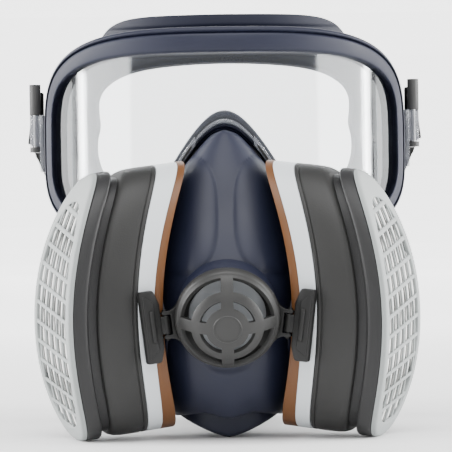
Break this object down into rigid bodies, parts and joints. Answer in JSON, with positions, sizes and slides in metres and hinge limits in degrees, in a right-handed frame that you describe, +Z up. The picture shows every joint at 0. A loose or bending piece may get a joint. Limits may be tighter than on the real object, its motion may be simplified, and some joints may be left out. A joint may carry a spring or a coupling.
{
  "type": "full face respirator",
  "caption": "Full-face respirator: wide clear visor joined to a rubber half mask, a twin dished side filter pair, a spoked exhale valve cover with latches, and a head and neck harness.",
  "frame": {"origin": "middle of the flat chin rest's underside, on the plane that halves the mask", "axes": "+X towards the wearer's left, +Y back towards the wearer, +Z up from chin to brow"},
  "size_m": [0.1876, 0.2528, 0.1935],
  "materials": {
    "face_rubber": "satin, soft",
    "seal_rubber": "satin, soft",
    "visor": "clear, polished",
    "clear_plastic": "clear, moulded",
    "grey_plastic": "fine matt texture",
    "black_plastic": "fine matt texture",
    "light_grey_plastic": "fine matt texture",
    "brown_band": "satin print",
    "label": "satin print",
    "carbon": "granular",
    "felt": "matt",
    "filter_paper": "matt, pleated",
    "silicone": "translucent, satin",
    "webbing": "woven",
    "steel": "drawn"
  },
  "bodies": {
    "mask": {"goggle_frame": "face_rubber", "goggle_face_flange": "seal_rubber", "visor_lens": "visor", "nose_gasket": "face_rubber", "mask_body": "face_rubber", "mask_face_seal": "seal_rubber", "chin_rest": "seal_rubber", "exhale_seat": "grey_plastic", "head_cradle": "grey_plastic", "neck_clip_hook": "grey_plastic", "neck_clip_loop": "grey_plastic", "port_sleeve_left": "grey_plastic", "port_sleeve_right": "grey_plastic", "ear_bracket_left": "clear_plastic", "ear_bracket_right": "clear_plastic", "ear_pin_left": "steel", "ear_pin_right": "steel", "head_strap_left": "webbing", "head_strap_right": "webbing", "neck_anchor_left": "grey_plastic", "neck_anchor_right": "grey_plastic", "neck_strap_left": "webbing", "neck_strap_right": "webbing"},
    "exhale_cover": {"valve_cover": "grey_plastic", "latch_pin_left": "steel", "latch_pin_right": "steel"},
    "exhale_flap": {"exhale_flap": "silicone"},
    "latch_left": {"latch_left": "black_plastic"},
    "inhale_flap_left": {"inhale_flap_left": "silicone"},
    "filter_left": {"gas_canister_left": "grey_plastic", "colour_band_left": "brown_band", "info_label_left": "label", "carbon_bed_left": "carbon", "dust_felt_left": "felt", "joint_ring_left": "black_plastic", "particle_case_left": "grey_plastic", "pleat_pack_left": "filter_paper", "grid_cover_left": "light_grey_plastic"},
    "buckle_left": {"strap_buckle_left": "grey_plastic"},
    "latch_right": {"latch_right": "black_plastic"},
    "inhale_flap_right": {"inhale_flap_right": "silicone"},
    "filter_right": {"gas_canister_right": "grey_plastic", "colour_band_right": "brown_band", "info_label_right": "label", "carbon_bed_right": "carbon", "dust_felt_right": "felt", "joint_ring_right": "black_plastic", "particle_case_right": "grey_plastic", "pleat_pack_right": "filter_paper", "grid_cover_right": "light_grey_plastic"},
    "buckle_right": {"strap_buckle_right": "grey_plastic"}
  },
  "joints": [
    {"name": "cover_pull", "type": "slide", "parent": "mask", "child": "exhale_cover", "axis": [0, -0.9397, -0.342], "range_m": [0, 0.02]},
    {"name": "exhale_flap_lift", "type": "slide", "parent": "mask", "child": "exhale_flap", "axis": [0, -0.9397, -0.342], "range_m": [0, 0.0014], "stiffness_N_per_m": 20, "springref_m": -0.002},
    {"name": "filter_left_pull", "type": "slide", "parent": "mask", "child": "filter_left", "axis": [-0.9492, -0.2902, -0.1219], "range_m": [0, 0.03]},
    {"name": "inhale_flap_left_lift", "type": "slide", "parent": "mask", "child": "inhale_flap_left", "axis": [0.9492, 0.2902, 0.1219], "range_m": [0, 0.0014], "stiffness_N_per_m": 20, "springref_m": -0.002},
    {"name": "latch_left_swing", "type": "hinge", "parent": "exhale_cover", "child": "latch_left", "pos_m": [-0.02699, -0.0606, 0.05197], "axis": [-0.1165, -0.0356, 0.9925], "range_deg": [0, 20], "stiffness_Nm_per_rad": 0.02, "springref_deg": -11.46},
    {"name": "buckle_left_swing", "type": "hinge", "parent": "mask", "child": "buckle_left", "pos_m": [-0.0905, 0.054, 0.148], "axis": [0, 0, 1], "range_deg": [0, 25], "deforming": ["head_strap_left"]},
    {"name": "filter_right_pull", "type": "slide", "parent": "mask", "child": "filter_right", "axis": [0.9492, -0.2902, -0.1219], "range_m": [0, 0.03]},
    {"name": "inhale_flap_right_lift", "type": "slide", "parent": "mask", "child": "inhale_flap_right", "axis": [-0.9492, 0.2902, 0.1219], "range_m": [0, 0.0014], "stiffness_N_per_m": 20, "springref_m": -0.002},
    {"name": "latch_right_swing", "type": "hinge", "parent": "exhale_cover", "child": "latch_right", "pos_m": [0.02699, -0.0606, 0.05197], "axis": [-0.1165, 0.0356, -0.9925], "range_deg": [0, 20], "stiffness_Nm_per_rad": 0.02, "springref_deg": -11.46},
    {"name": "buckle_right_swing", "type": "hinge", "parent": "mask", "child": "buckle_right", "pos_m": [0.0905, 0.054, 0.148], "axis": [0, 0, -1], "range_deg": [0, 25], "deforming": ["head_strap_right"]}
  ]
}
